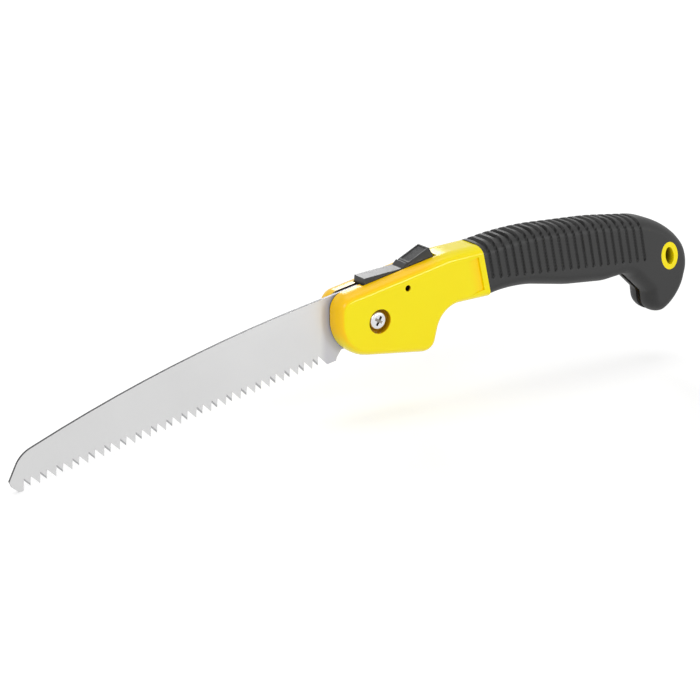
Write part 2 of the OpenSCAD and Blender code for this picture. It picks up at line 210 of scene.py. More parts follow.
def welded_copy(node, name):
    """A copy of a CAD node's mesh as one closed surface with whole flat faces."""
    bpy.ops.object.select_all(action="DESELECT")
    piece = frame["nodes"][node].copy()
    piece.data = piece.data.copy()
    piece.name = name
    piece.parent = None
    del piece["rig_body"], piece["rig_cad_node"]
    bpy.context.collection.objects.link(piece)
    bpy.context.view_layer.objects.active = piece
    piece.select_set(True)
    bpy.ops.object.mode_set(mode="EDIT")
    bpy.ops.mesh.select_all(action="SELECT")
    bpy.ops.mesh.remove_doubles(threshold=0.002 * MM)
    bpy.ops.mesh.dissolve_limited(angle_limit=math.radians(0.3))
    bpy.ops.mesh.customdata_custom_splitnormals_clear()
    bpy.ops.object.mode_set(mode="OBJECT")
    return piece


def apply_modifiers(piece):
    bpy.ops.object.select_all(action="DESELECT")
    bpy.context.view_layer.objects.active = piece
    piece.select_set(True)
    for modifier in list(piece.modifiers):
        bpy.ops.object.modifier_apply(modifier=modifier.name)


def break_edges(piece, radius, angle=40, segments=2):
    """Rounds the sharp edges of a piece a little and keeps its flat faces flat in the shading."""
    bevel = piece.modifiers.new("edges", "BEVEL")
    bevel.width = radius
    bevel.segments = segments
    bevel.limit_method = "ANGLE"
    bevel.angle_limit = math.radians(angle)
    apply_modifiers(piece)
    bpy.ops.object.shade_smooth_by_angle(angle=math.radians(30))
    piece.modifiers.new("flat faces", "WEIGHTED_NORMAL").keep_sharp = True
    apply_modifiers(piece)


def finish(piece, material, slot, body, *nodes):
    """Gives a piece its material, its body and the CAD nodes that it stands for."""
    piece.data.materials.clear()
    piece.data.materials.append(material)
    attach(piece, body)
    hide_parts(*nodes)


# ABS from a polished mould: lemon yellow, glossy, with a faint ripple that softens reflections. A deeper
# gold on the head's upper and front rims and down the thumb recess is painted shade, and darker
# colour along the blade's slot, in the recesses of the two pins and in the hanging hole is painted shade.
yellow_abs = blank_material("polished yellow ABS")
place = add(yellow_abs, "ShaderNodeTexCoord").outputs["Object"]
cloud = add(yellow_abs, "ShaderNodeTexNoise", {"Vector": place, "Scale": 1 / (40 * MM), "Detail": 2.0})
side_shade = add(yellow_abs, "ShaderNodeMix", {
    "Factor": cloud.outputs["Fac"],
    "A": linear("#F1E400"),
    "B": linear("#F2DA00"),
}, data_type="RGBA")
spot = add(yellow_abs, "ShaderNodeSeparateXYZ", {"Vector": place})
normal = add(yellow_abs, "ShaderNodeTexCoord").outputs["Normal"]
facing = add(yellow_abs, "ShaderNodeSeparateXYZ", {"Vector": normal})
sideways = add(yellow_abs, "ShaderNodeMath", {0: facing.outputs["Y"]}, operation="ABSOLUTE").outputs[0]
outwards = add(yellow_abs, "ShaderNodeMath", {0: spot.outputs["Y"]}, operation="ABSOLUTE").outputs[0]

# Each place of painted gold shade has its measures, with the value where none shows and the value where all
# of it does
flat_side = 0.97
round_rim = 0.75
underside = -0.7
front_rim = -0.2
rim_painted_shade_measures = (
    (sideways, flat_side, round_rim),
    (facing.outputs["Z"], underside, front_rim),
    (spot.outputs["X"], lemon_rim_x, head_rear_x),
)
thumb_recess_painted_shade_measures = (
    (sideways, round_rim, flat_side),
    (outwards, side_y - flush_depth, side_y - thumb_recess_depth),
    (spot.outputs["X"], head_rear_x, thumb_step_x),
)
painted_gold_shades = []
for measures in (rim_painted_shade_measures, thumb_recess_painted_shade_measures):
    share = 1.0
    for value, none_at, all_at in measures:
        step = add(yellow_abs, "ShaderNodeMapRange", {
            "Value": value,
            "From Min": none_at,
            "From Max": all_at,
        }, interpolation_type="SMOOTHSTEP").outputs["Result"]
        share = add(yellow_abs, "ShaderNodeMath", {0: step, 1: share}, operation="MULTIPLY").outputs[0]
    painted_gold_shades.append(share)
painted_gold_shade = add(yellow_abs, "ShaderNodeMath", {0: painted_gold_shades[0], 1: painted_gold_shades[1]}, operation="MAXIMUM").outputs[0]
# The gold mixed in here is painted shade on the rims and in the thumb recess
shade = add(yellow_abs, "ShaderNodeMix", {
    "Factor": painted_gold_shade,
    "A": side_shade.outputs["Result"],
    "B": linear("#FDC800"),
}, data_type="RGBA")
# Painted shade: dark brown along the lips of the blade's slot in the head
slot_lip = add(yellow_abs, "ShaderNodeMapRange", {
    "Value": outwards,
    "From Min": slot_half + slot_shade_width,
    "From Max": slot_half + slot_shade_width / 3,
}).outputs["Result"]
in_head = add(yellow_abs, "ShaderNodeMath", {0: spot.outputs["X"], 1: lever_axis.x}, operation="LESS_THAN")
slot_painted_shade = add(yellow_abs, "ShaderNodeMath", {0: slot_lip, 1: in_head.outputs[0]}, operation="MULTIPLY")
shade = add(yellow_abs, "ShaderNodeMix", {
    "Factor": slot_painted_shade.outputs[0],
    "A": shade.outputs["Result"],
    "B": linear("#2E2400"),
}, data_type="RGBA")
# Painted shade: the pivot's recess, the lever pin's recess and the hanging hole grow darker with depth
for centre, recess_r, shaded_depth, recess_shade_colour in (
    (pivot, 6.3 * MM, 1.2 * MM, "#B08000"),
    (lever_axis, 1.7 * MM, 1.2 * MM, "#2A1800"),
    (hanging_hole, 5.1 * MM, 4.5 * MM, "#8A7C00"),
):
    from_centre = add(yellow_abs, "ShaderNodeVectorMath", {0: place, 1: centre}, operation="SUBTRACT")
    parts = add(yellow_abs, "ShaderNodeSeparateXYZ", {"Vector": from_centre.outputs[0]})
    level = add(yellow_abs, "ShaderNodeCombineXYZ", {"X": parts.outputs["X"], "Z": parts.outputs["Z"]})
    reach = add(yellow_abs, "ShaderNodeVectorMath", {0: level.outputs[0]}, operation="LENGTH")
    inside = add(yellow_abs, "ShaderNodeMath", {
        0: reach.outputs["Value"],
        1: recess_r,
    }, operation="LESS_THAN").outputs[0]
    deep = add(yellow_abs, "ShaderNodeMapRange", {
        "Value": outwards,
        "From Min": side_y - flush_depth,
        "From Max": side_y - shaded_depth,
    }, interpolation_type="SMOOTHSTEP").outputs["Result"]
    painted_recess_shade = add(yellow_abs, "ShaderNodeMath", {0: inside, 1: deep}, operation="MULTIPLY")
    shade = add(yellow_abs, "ShaderNodeMix", {
        "Factor": painted_recess_shade.outputs[0],
        "A": shade.outputs["Result"],
        "B": linear(recess_shade_colour),
    }, data_type="RGBA")
ripple = add(yellow_abs, "ShaderNodeTexNoise", {"Vector": place, "Scale": 1 / (1.43 * MM), "Detail": 3.0})
skin = add(yellow_abs, "ShaderNodeBump", {
    "Height": ripple.outputs["Fac"],
    "Distance": 0.02 * MM,
    "Strength": 0.12,
})
gloss = add(yellow_abs, "ShaderNodeMapRange", {
    "Value": ripple.outputs["Fac"],
    "To Min": 0.16,
    "To Max": 0.24,
})
shader = add(yellow_abs, "ShaderNodeBsdfPrincipled", {
    "Base Color": shade.outputs["Result"],
    "Roughness": gloss.outputs["Result"],
    "Normal": skin.outputs["Normal"],
    "IOR": 1.54,
    "Specular IOR Level": 0.25,
})
add(yellow_abs, "ShaderNodeOutputMaterial", {"Surface": shader.outputs["BSDF"]})

core = welded_copy("handle_core", "core_moulding")
break_edges(core, 0.25 * MM)
finish(core, yellow_abs, "yellow_plastic", "handle", "handle_core")

# ---- The rubber grip ----
# Black rubber moulded over the core, 21 grooves round its back and sides. The slab starts as an
# outline with round corners, its rims are rounded, and the grooves are sunk into an even grid.

# Sizes in mm, and places in mm from the blade pivot
grip_front = 67.3
grip_rear = 201.6
grip_crest = 33.9
grip_half = 11.0
rim_in = 6.0
rim_across = 8.0
joint_lean = math.radians(14)
joint_foot = 1.7
joint_gap = 0.03

# (x, z, radius) of each corner, anticlockwise from the lower front one
grip_corners = [
    (grip_front - 20, -2.3, 0),
    (grip_front + 17, 5, 70),
    (grip_front + 51, -0.3, 68),
    (grip_rear - 58.7, -2, 29),
    (grip_rear - 41.9, 0, 9.5),
    (grip_rear - 27.6, -12.5, 1.5),
    (grip_rear - 24.9, -25.6, 9.2),
    (grip_rear - 15.7, -24.8, 8),
    (grip_rear - 3.9, -18.4, 24),
    (grip_rear + 1.3, 6.6, 19),
    (grip_rear - 18.2, grip_crest - 5.8, 45),
    (grip_rear - 63, grip_crest - 1.4, 150),
    (grip_front + 19.4, grip_crest, 159),
    (grip_front - 20, grip_crest - 6.4, 0),
]


def from_pivot(x, z):
    """A place in the middle plane, this many mm behind the blade pivot and above it."""
    return pivot + Vector((x, 0, z)) * MM


def grip_outline(name):
    """The grip's side view as one flat face: its corners, each rounded by its own radius."""
    bpy.ops.mesh.primitive_circle_add(vertices=len(grip_corners), radius=60 * MM, fill_type="NGON")
    plate = bpy.context.object
    plate.name = name
    spots = [from_pivot(x, z) for x, z, radius in grip_corners]
    for vertex, spot in zip(plate.data.vertices, spots):
        vertex.co = spot
    plate.location = (0, 0, 0)
    bpy.ops.object.mode_set(mode="EDIT")
    for k, (x, z, radius) in enumerate(grip_corners):
        if radius == 0:
            continue
        before = (spots[k - 1] - spots[k]).normalized()
        after = (spots[(k + 1) % len(spots)] - spots[k]).normalized()
        half_angle = before.angle(after) / 2
        bpy.ops.mesh.select_mode(type="VERT")
        bpy.ops.mesh.select_all(action="DESELECT")
        bpy.ops.object.mode_set(mode="OBJECT")
        corner = min(plate.data.vertices, key=lambda v: (v.co - spots[k]).length)
        corner.select = True
        bpy.ops.object.mode_set(mode="EDIT")
        bpy.ops.mesh.bevel(offset=radius * MM / math.tan(half_angle), segments=14, affect="VERTICES",
                           clamp_overlap=False)
    bpy.ops.object.mode_set(mode="OBJECT")
    return plate


def thicken(plate, half_width):
    """Makes a flat outline a plate about the middle plane, its faces pointing outwards."""
    bpy.ops.object.select_all(action="DESELECT")
    bpy.context.view_layer.objects.active = plate
    plate.select_set(True)
    bpy.ops.object.mode_set(mode="EDIT")
    bpy.ops.mesh.select_all(action="SELECT")
    bpy.ops.transform.translate(value=(0, -half_width, 0))
    bpy.ops.mesh.extrude_region_move(TRANSFORM_OT_translate={"value": (0, 2 * half_width, 0)})
    bpy.ops.mesh.select_all(action="SELECT")
    bpy.ops.mesh.normals_make_consistent(inside=False)
    bpy.ops.object.mode_set(mode="OBJECT")


def select_rims(piece, sides=(-1, 1)):
    """Leaves the edges selected that lie in a piece's near end face, its far one, or both."""
    reach = [min(v.co.y for v in piece.data.vertices), max(v.co.y for v in piece.data.vertices)]
    faces = [reach[0] if side < 0 else reach[1] for side in sides]
    bpy.ops.object.mode_set(mode="EDIT")
    bpy.ops.mesh.select_mode(type="EDGE")
    bpy.ops.mesh.select_all(action="DESELECT")
    bpy.ops.object.mode_set(mode="OBJECT")
    for edge in piece.data.edges:
        ends = [piece.data.vertices[k].co.y for k in edge.vertices]
        edge.select = any(max(abs(y - face) for y in ends) < 0.001 * MM for face in faces)
    bpy.ops.object.mode_set(mode="EDIT")


def cut(piece, cutter, operation="DIFFERENCE"):
    """Cuts a piece with another, or joins the two, and removes the tool."""
    knife = piece.modifiers.new("cut", "BOOLEAN")
    knife.operation = operation
    knife.solver = "MANIFOLD"
    knife.object = cutter
    apply_modifiers(piece)
    bpy.data.objects.remove(cutter)


# The rims are round in a slab squeezed to this share of its width, and elliptical in the real one
squeeze = rim_in / rim_across
grip = grip_outline("rubber_overmould")
thicken(grip, grip_half * MM * squeeze)
select_rims(grip)
bpy.ops.mesh.bevel(offset=rim_in * MM, segments=10, affect="EDGES", clamp_overlap=False)
bpy.ops.mesh.select_all(action="SELECT")
bpy.ops.transform.resize(value=(1, 1 / squeeze, 1), center_override=(0, 0, 0))
bpy.ops.object.mode_set(mode="OBJECT")
even = grip.modifiers.new("even grid", "REMESH")
even.mode = "VOXEL"
even.voxel_size = 0.43 * MM
even.use_smooth_shade = True
apply_modifiers(grip)

# Parallel grooves that start at even steps on the line between the two feet seen in the photograph
groove_count = 21
groove_crest_depth = 1.7
groove_flank_depth = 0.9
groove_crest_width = 2.9
groove_flank_width = 1.7
first_foot = place_on(grip, points["first_groove_foot"])
last_foot = place_on(grip, points["last_groove_foot"])
foot_step = (last_foot - first_foot) / (groove_count - 1)
pitch = foot_step.x + foot_step.z * math.tan(joint_lean)
sunk = grip.vertex_groups.new(name="grooves")
for vertex in grip.data.vertices:
    along = vertex.co.x - first_foot.x + (vertex.co.z - first_foot.z) * math.tan(joint_lean)
    nearest = min(max(round(along / pitch), 0), groove_count - 1)
    crest = 1 - abs(vertex.normal.y)
    half = (groove_flank_width + (groove_crest_width - groove_flank_width) * crest) * MM / 2
    aside = (along - nearest * pitch) * math.cos(joint_lean)
    below = max(first_foot.z + nearest * foot_step.z + half - vertex.co.z, 0)
    share = 1 - (aside ** 2 + below ** 2) / half ** 2
    if share > 0:
        depth = groove_flank_depth + (groove_crest_depth - groove_flank_depth) * crest
        sunk.add([vertex.index], min(1.0, 2 * share) * depth / groove_crest_depth, "REPLACE")
sink = grip.modifiers.new("grooves", "DISPLACE")
sink.vertex_group = sunk.name
sink.direction = "NORMAL"
sink.mid_level = 0
sink.strength = -groove_crest_depth * MM
apply_modifiers(grip)
grip.vertex_groups.clear()

# The core's bar, the blade's slot and the ring are hollow in the rubber, and the joint is one cut
core_half = 6.8
rubber_over_core = 2.8
bar = grip_outline("bar_tool")
bpy.ops.object.mode_set(mode="EDIT")
bpy.ops.mesh.select_mode(type="FACE")
bpy.ops.mesh.select_all(action="SELECT")
bpy.ops.mesh.inset(thickness=rubber_over_core * MM, depth=0)
bpy.ops.mesh.select_all(action="INVERT")
bpy.ops.mesh.delete(type="FACE")
bpy.ops.object.mode_set(mode="OBJECT")
thicken(bar, core_half * MM)
cut(grip, bar)

rubber_slot_half = 1.7
slot_corners = [(50, -60), (230, -60), (197.2, -16), (197.2, 3.4), (193.2, 7.7), (50, 14.2)]
bpy.ops.mesh.primitive_circle_add(vertices=len(slot_corners), fill_type="NGON")
slot = bpy.context.object
for vertex, (x, z) in zip(slot.data.vertices, slot_corners):
    vertex.co = from_pivot(x, z)
thicken(slot, rubber_slot_half * MM)
cut(grip, slot)

ring_half = (5.73, 7.93)
ring_tilt = math.radians(-16)
bpy.ops.mesh.primitive_cylinder_add(vertices=64, radius=MM, depth=40 * MM, rotation=(math.pi / 2, 0, 0))
ring = bpy.context.object
bpy.ops.object.transform_apply()
bpy.ops.transform.resize(value=(ring_half[0], 1, ring_half[1]), center_override=(0, 0, 0))
bpy.ops.object.transform_apply()
ring.data.transform(Matrix.Rotation(ring_tilt, 4, "Y"))
cut(grip, ring)

joint_place = from_pivot(grip_front + joint_gap, joint_foot)
bpy.ops.object.mode_set(mode="EDIT")
bpy.ops.mesh.select_all(action="SELECT")
bpy.ops.mesh.bisect(plane_co=joint_place, use_fill=True, clear_inner=True,
                    plane_no=(math.cos(joint_lean), 0, math.sin(joint_lean)))
bpy.ops.object.mode_set(mode="OBJECT")
bpy.ops.object.shade_smooth_by_angle(angle=math.radians(40))

# Thermoplastic rubber from an eroded mould: near black and matt, with its grain drawn 0.3 mm coarse
# so that it shows. The grooves' bottoms are painted black as painted shade.
grain_w = 0.3 * MM
black_half = 0.3 * MM
grey_half = 0.65 * MM
unshaded_foot = 0.2 * MM
past_end_groove = 0.3
rubber = blank_material("moulded black rubber")
place = add(rubber, "ShaderNodeTexCoord").outputs["Object"]
cloud = add(rubber, "ShaderNodeTexNoise", {"Vector": place, "Scale": 1 / (22.2 * MM), "Detail": 3.0})
shade = add(rubber, "ShaderNodeMix", {
    "Factor": cloud.outputs["Fac"],
    "A": linear("#1A1A1A"),
    "B": linear("#222222"),
}, data_type="RGBA")
from_foot = add(rubber, "ShaderNodeVectorMath", {0: place, 1: first_foot}, operation="SUBTRACT").outputs[0]
parts = add(rubber, "ShaderNodeSeparateXYZ", {"Vector": from_foot})
along = add(rubber, "ShaderNodeMath", {
    0: parts.outputs["Z"],
    1: math.tan(joint_lean),
    2: parts.outputs["X"],
}, operation="MULTIPLY_ADD").outputs[0]
row = add(rubber, "ShaderNodeMath", {0: along, 1: pitch}, operation="DIVIDE").outputs[0]
off_middle = add(rubber, "ShaderNodeMath", {0: row, 1: 0.5}, operation="PINGPONG").outputs[0]
# Painted shade: the grooves' bottoms darken to near black
groove_painted_shade = add(rubber, "ShaderNodeMapRange", {
    "Value": off_middle,
    "From Min": grey_half / pitch,
    "From Max": black_half / pitch,
}, interpolation_type="SMOOTHSTEP").outputs["Result"]
in_row = add(rubber, "ShaderNodeMath", {
    0: row,
    1: (groove_count - 1) / 2,
    2: (groove_count - 1) / 2 + past_end_groove,
}, operation="COMPARE").outputs[0]
over_line = add(rubber, "ShaderNodeMath", {
    0: row,
    1: -foot_step.z,
    2: parts.outputs["Z"],
}, operation="MULTIPLY_ADD").outputs[0]
over_foot = add(rubber, "ShaderNodeMath", {
    0: over_line,
    1: unshaded_foot,
}, operation="GREATER_THAN").outputs[0]
for limit in (in_row, over_foot):
    groove_painted_shade = add(rubber, "ShaderNodeMath", {0: groove_painted_shade, 1: limit}, operation="MULTIPLY").outputs[0]
shade = add(rubber, "ShaderNodeMix", {
    "Factor": groove_painted_shade,
    "A": shade.outputs["Result"],
    "B": linear("#0A0A0A"),
}, data_type="RGBA")
grain = add(rubber, "ShaderNodeTexNoise", {"Vector": place, "Scale": 1 / grain_w, "Detail": 2.0})
skin = add(rubber, "ShaderNodeBump", {
    "Height": grain.outputs["Fac"],
    "Distance": 0.04 * MM,
    "Strength": 0.4,
})
shader = add(rubber, "ShaderNodeBsdfPrincipled", {
    "Base Color": shade.outputs["Result"],
    "Roughness": 0.52,
    "Normal": skin.outputs["Normal"],
    "IOR": 1.5,
})
add(rubber, "ShaderNodeOutputMaterial", {"Surface": shader.outputs["BSDF"]})
finish(grip, rubber, "grip_rubber", "handle", "rubber_grip")

# ---- The blade ----
# Hardened carbon steel, stamped, ground flat, then filed: each second tooth is bevelled from this
# side, the others from the far side. Its tang turns on the sleeve between the cheeks.

droop = math.radians(11.4)
tooth_drop = 14.8 * MM
tooth_depth = 5.2 * MM
over_gullet = 0.3 * MM
flat_face = 0.8
scratch_size = Vector((16.7, 1.1, 0.385)) * MM
cheek_shadow_front = -28.5 * MM
cheek_shadow_rear = -23.5 * MM

# Satin steel: a soft white shine with grinding lines along the blade, drawn coarser than real ones so
# that they show. The spine's edge is painted dark as shade, the teeth's facets get a painted highlight
# towards the handle and painted shade towards the toe, and the cheeks' painted shadow lies grey on the
# plate.
satin_steel = blank_material("satin ground steel")
place = add(satin_steel, "ShaderNodeTexCoord").outputs["Object"]
on_plate = add(satin_steel, "ShaderNodeMapping", {
    "Vector": place,
    "Location": -(Matrix.Rotation(droop, 3, "Y") @ pivot),
    "Rotation": (0, droop, 0),
}, vector_type="POINT")
height = add(satin_steel, "ShaderNodeSeparateXYZ", {"Vector": on_plate.outputs["Vector"]}).outputs["Z"]
normal = add(satin_steel, "ShaderNodeTexCoord").outputs["Normal"]
facing = add(satin_steel, "ShaderNodeSeparateXYZ", {"Vector": normal})
sideways = add(satin_steel, "ShaderNodeMath", {0: facing.outputs["Y"]}, operation="ABSOLUTE").outputs[0]
is_edge = add(satin_steel, "ShaderNodeMath", {0: sideways, 1: flat_face}, operation="LESS_THAN").outputs[0]
in_teeth = add(satin_steel, "ShaderNodeMath", {
    0: height,
    1: over_gullet + tooth_depth - tooth_drop,
}, operation="LESS_THAN").outputs[0]
lines = add(satin_steel, "ShaderNodeVectorMath", {
    0: on_plate.outputs["Vector"],
    1: scratch_size,
}, operation="DIVIDE")
grinding = add(satin_steel, "ShaderNodeTexNoise", {"Vector": lines.outputs[0], "Scale": 1.0, "Detail": 3.0})
cloud = add(satin_steel, "ShaderNodeTexNoise", {"Vector": place, "Scale": 1 / (33.3 * MM), "Detail": 2.0})
plate_shade = add(satin_steel, "ShaderNodeMix", {
    "Factor": cloud.outputs["Fac"],
    "A": linear("#CECECE"),
    "B": linear("#D5D5D5"),
}, data_type="RGBA")
# Painted light: tooth facets white towards the handle, grey towards the toe; the spine's edge painted dark
# grey
to_toe = add(satin_steel, "ShaderNodeMath", {0: facing.outputs["X"], 1: 0.0}, operation="LESS_THAN")
facet_painted_light = add(satin_steel, "ShaderNodeMix", {
    "Factor": to_toe.outputs[0],
    "A": linear("#E6E6E5"),
    "B": linear("#AEAEB0"),
}, data_type="RGBA")
edge_painted_light = add(satin_steel, "ShaderNodeMix", {
    "Factor": in_teeth,
    "A": linear("#48484A"),
    "B": facet_painted_light.outputs["Result"],
}, data_type="RGBA")
shade = add(satin_steel, "ShaderNodeMix", {
    "Factor": is_edge,
    "A": plate_shade.outputs["Result"],
    "B": edge_painted_light.outputs["Result"],
}, data_type="RGBA")
# Painted shadow: a grey band on the plate just before the cheeks, where the metallic shine is also taken
# away
from_axis = add(satin_steel, "ShaderNodeVectorMath", {0: place, 1: pivot}, operation="SUBTRACT").outputs[0]
from_axis_x = add(satin_steel, "ShaderNodeSeparateXYZ", {"Vector": from_axis}).outputs["X"]
cheek_painted_shadow = add(satin_steel, "ShaderNodeMapRange", {
    "Value": from_axis_x,
    "From Min": cheek_shadow_front,
    "From Max": cheek_shadow_rear,
}, interpolation_type="SMOOTHSTEP").outputs["Result"]
shade = add(satin_steel, "ShaderNodeMix", {
    "Factor": cheek_painted_shadow,
    "A": shade.outputs["Result"],
    "B": linear("#BEBEC6"),
}, data_type="RGBA")
metallic_outside_shadow = add(satin_steel, "ShaderNodeMapRange", {"Value": cheek_painted_shadow, "To Min": 0.65, "To Max": 0.0})
skin = add(satin_steel, "ShaderNodeBump", {
    "Height": grinding.outputs["Fac"],
    "Distance": 0.01 * MM,
    "Strength": 0.3,
})
gloss = add(satin_steel, "ShaderNodeMapRange", {
    "Value": grinding.outputs["Fac"],
    "To Min": 0.36,
    "To Max": 0.46,
})
shader = add(satin_steel, "ShaderNodeBsdfPrincipled", {
    "Base Color": shade.outputs["Result"],
    "Metallic": metallic_outside_shadow.outputs["Result"],
    "Roughness": gloss.outputs["Result"],
    "Normal": skin.outputs["Normal"],
})
add(satin_steel, "ShaderNodeOutputMaterial", {"Surface": shader.outputs["BSDF"]})
blade = welded_copy("saw_blade", "blade_plate")
break_edges(blade, 0.08 * MM, segments=1)
finish(blade, satin_steel, "blade_steel", "blade", "saw_blade")

# ---- The pivot screw ----
# A zinc-plated steel screw with a pan head, a pressed cross recess and a plain shank. It passes
# through both cheeks and the sleeve that the blade turns on, and the nut on the far side holds it.

low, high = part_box("pivot_screw")
head_r = (high.x - low.x) / 2
shank_r = 2.5 * MM
shank_in = 1 * MM
head_h = 2.6 * MM
crown_r = 1.9 * MM
end_chamfer = 0.5 * MM
bpy.ops.mesh.primitive_cylinder_add(vertices=64, radius=head_r, depth=head_h, rotation=(math.pi / 2, 0, 0),
                                    location=(pivot.x, low.y + head_h / 2, pivot.z))
screw = bpy.context.object
screw.name = "pan_head_screw"
bpy.ops.object.transform_apply()
select_rims(screw, sides=[-1])
bpy.ops.mesh.bevel(offset=crown_r, segments=8, affect="EDGES", clamp_overlap=False)
bpy.ops.object.mode_set(mode="OBJECT")
bpy.ops.mesh.primitive_cylinder_add(vertices=48, radius=shank_r, depth=high.y - low.y - shank_in,
                                    rotation=(math.pi / 2, 0, 0),
                                    location=(pivot.x, (high.y + low.y + shank_in) / 2, pivot.z))
shank = bpy.context.object
bpy.ops.object.transform_apply()
select_rims(shank, sides=[1])
bpy.ops.mesh.bevel(offset=end_chamfer, segments=1, affect="EDGES")
bpy.ops.object.mode_set(mode="OBJECT")
cut(screw, shank, "UNION")

# Two crossed wings, narrower at the bottom, press the recess
wing_l = 7.0 * MM
wing_w = 1.5 * MM
bottom_l = 0.45
bottom_w = 0.75
recess_depth = 1.3 * MM
cross_turn = math.radians(30)
for quarter in (0, 1):
    bpy.ops.mesh.primitive_cube_add(size=1, location=(pivot.x, low.y, pivot.z))
    wing = bpy.context.object
    bpy.ops.transform.resize(value=(wing_l, 2 * recess_depth, wing_w))
    bpy.ops.object.transform_apply()
    for vertex in wing.data.vertices:
        if vertex.co.y > low.y:
            vertex.co.x = pivot.x + (vertex.co.x - pivot.x) * bottom_l
            vertex.co.z = pivot.z + (vertex.co.z - pivot.z) * bottom_w
    turn = Matrix.Rotation(cross_turn + quarter * math.pi / 2, 4, "Y")
    wing.data.transform(Matrix.Translation(pivot) @ turn @ Matrix.Translation(-pivot))
    cut(screw, wing)
break_edges(screw, 0.08 * MM, angle=35)

# Bright zinc: a clean white metal, a little uneven from the bath, with painted shade in the cross.
cross_shade_middle = 1.2 * MM
cross_shade_half = 1.0 * MM
zinc = blank_material("bright zinc plate")
place = add(zinc, "ShaderNodeTexCoord").outputs["Object"]
cloud = add(zinc, "ShaderNodeTexNoise", {"Vector": place, "Scale": 1 / (2 * MM), "Detail": 3.0})
plating = add(zinc, "ShaderNodeMix", {
    "Factor": cloud.outputs["Fac"],
    "A": linear("#D9DADF"),
    "B": linear("#ECEDEF"),
}, data_type="RGBA")
from_axis = add(zinc, "ShaderNodeVectorMath", {0: place, 1: pivot}, operation="SUBTRACT").outputs[0]
parts = add(zinc, "ShaderNodeSeparateXYZ", {"Vector": from_axis})
level = add(zinc, "ShaderNodeCombineXYZ", {"X": parts.outputs["X"], "Z": parts.outputs["Z"]})
reach = add(zinc, "ShaderNodeVectorMath", {0: level.outputs[0]}, operation="LENGTH").outputs["Value"]
near_axis = add(zinc, "ShaderNodeMath", {0: reach, 1: wing_l / 2}, operation="LESS_THAN").outputs[0]
sunk_in = add(zinc, "ShaderNodeMath", {
    0: parts.outputs["Y"],
    1: low.y + cross_shade_middle,
    2: cross_shade_half,
}, operation="COMPARE").outputs[0]
cross_painted_shade = add(zinc, "ShaderNodeMath", {0: near_axis, 1: sunk_in}, operation="MULTIPLY").outputs[0]
# Painted shade: the cross recess is coloured a darker grey
shade = add(zinc, "ShaderNodeMix", {
    "Factor": cross_painted_shade,
    "A": plating.outputs["Result"],
    "B": linear("#948E86"),
}, data_type="RGBA")
gloss = add(zinc, "ShaderNodeMapRange", {"Value": cloud.outputs["Fac"], "To Min": 0.16, "To Max": 0.28})
shader = add(zinc, "ShaderNodeBsdfPrincipled", {
    "Base Color": shade.outputs["Result"],
    "Metallic": 1.0,
    "Roughness": gloss.outputs["Result"],
})
add(zinc, "ShaderNodeOutputMaterial", {"Surface": shader.outputs["BSDF"]})
finish(screw, zinc, "plated_steel", "handle", "pivot_screw")

# ---- The lock nut and its ring ----
# A zinc-plated steel nut, pressed into a hexagonal pocket of the far cheek. The ring of blue nylon
# that is rolled into it grips the screw's end, so that folding the blade doesn't work it loose.

nut = welded_copy("pivot_nut", "lock_nut")
break_edges(nut, 0.2 * MM, angle=25)
finish(nut, zinc, "plated_steel", "handle", "pivot_nut")

# Dyed nylon straight from the mould: an even deep blue, half matt.
nylon = blank_material("moulded nylon")
place = add(nylon, "ShaderNodeTexCoord").outputs["Object"]
cloud = add(nylon, "ShaderNodeTexNoise", {"Vector": place, "Scale": 1 / (3.33 * MM), "Detail": 2.0})
shade = add(nylon, "ShaderNodeMix", {
    "Factor": cloud.outputs["Fac"],
    "A": linear("#24509A"),
    "B": linear("#2C5CAE"),
}, data_type="RGBA")
shader = add(nylon, "ShaderNodeBsdfPrincipled", {
    "Base Color": shade.outputs["Result"],
    "Roughness": 0.45,
    "IOR": 1.53,
})
add(nylon, "ShaderNodeOutputMaterial", {"Surface": shader.outputs["BSDF"]})
lock_ring = welded_copy("nut_lock_ring", "nylon_lock_ring")
break_edges(lock_ring, 0.1 * MM)
finish(lock_ring, nylon, "ring_nylon", "handle", "nut_lock_ring")

# ---- The sleeve and the thrust washers ----
# Inside the head: a plated steel sleeve keeps the cheeks apart and carries the blade, and a
# nylon washer on each side of the blade keeps steel from rubbing on plastic.

# Undyed nylon: a warm milky white with a soft sheen.
natural_nylon = blank_material("natural nylon")
place = add(natural_nylon, "ShaderNodeTexCoord").outputs["Object"]
cloud = add(natural_nylon, "ShaderNodeTexNoise", {"Vector": place, "Scale": 1 / (3.33 * MM), "Detail": 2.0})
shade = add(natural_nylon, "ShaderNodeMix", {
    "Factor": cloud.outputs["Fac"],
    "A": linear("#E9E6DA"),
    "B": linear("#F1EFE6"),
}, data_type="RGBA")
shader = add(natural_nylon, "ShaderNodeBsdfPrincipled", {
    "Base Color": shade.outputs["Result"],
    "Roughness": 0.4,
    "IOR": 1.53,
})
add(natural_nylon, "ShaderNodeOutputMaterial", {"Surface": shader.outputs["BSDF"]})
frame["nodes"]["pivot_sleeve"].material_slots[0].material = zinc
for node in ("thrust_washer_near", "thrust_washer_far"):
    frame["nodes"][node].material_slots[0].material = natural_nylon

# ---- The lock lever ----
# A rocker moulded in black glass-filled nylon: a nose that drops into the tang's notch, a flat
# arm, and a thumb pad whose sunk face has the mould's coarse grain.

pad_front = lever_axis + Vector((4.3, 0, 10.8)) * MM
pad_crest = lever_axis + Vector((16.1, 0, 16.9)) * MM
pad_run = (pad_crest - pad_front).normalized()
pad_normal = Vector((-pad_run.z, 0, pad_run.x))
pad_sunk = 0.4 * MM
pad_tolerance = 0.15 * MM
pad_grain_w = 0.6 * MM
skin_grain_w = 0.4 * MM

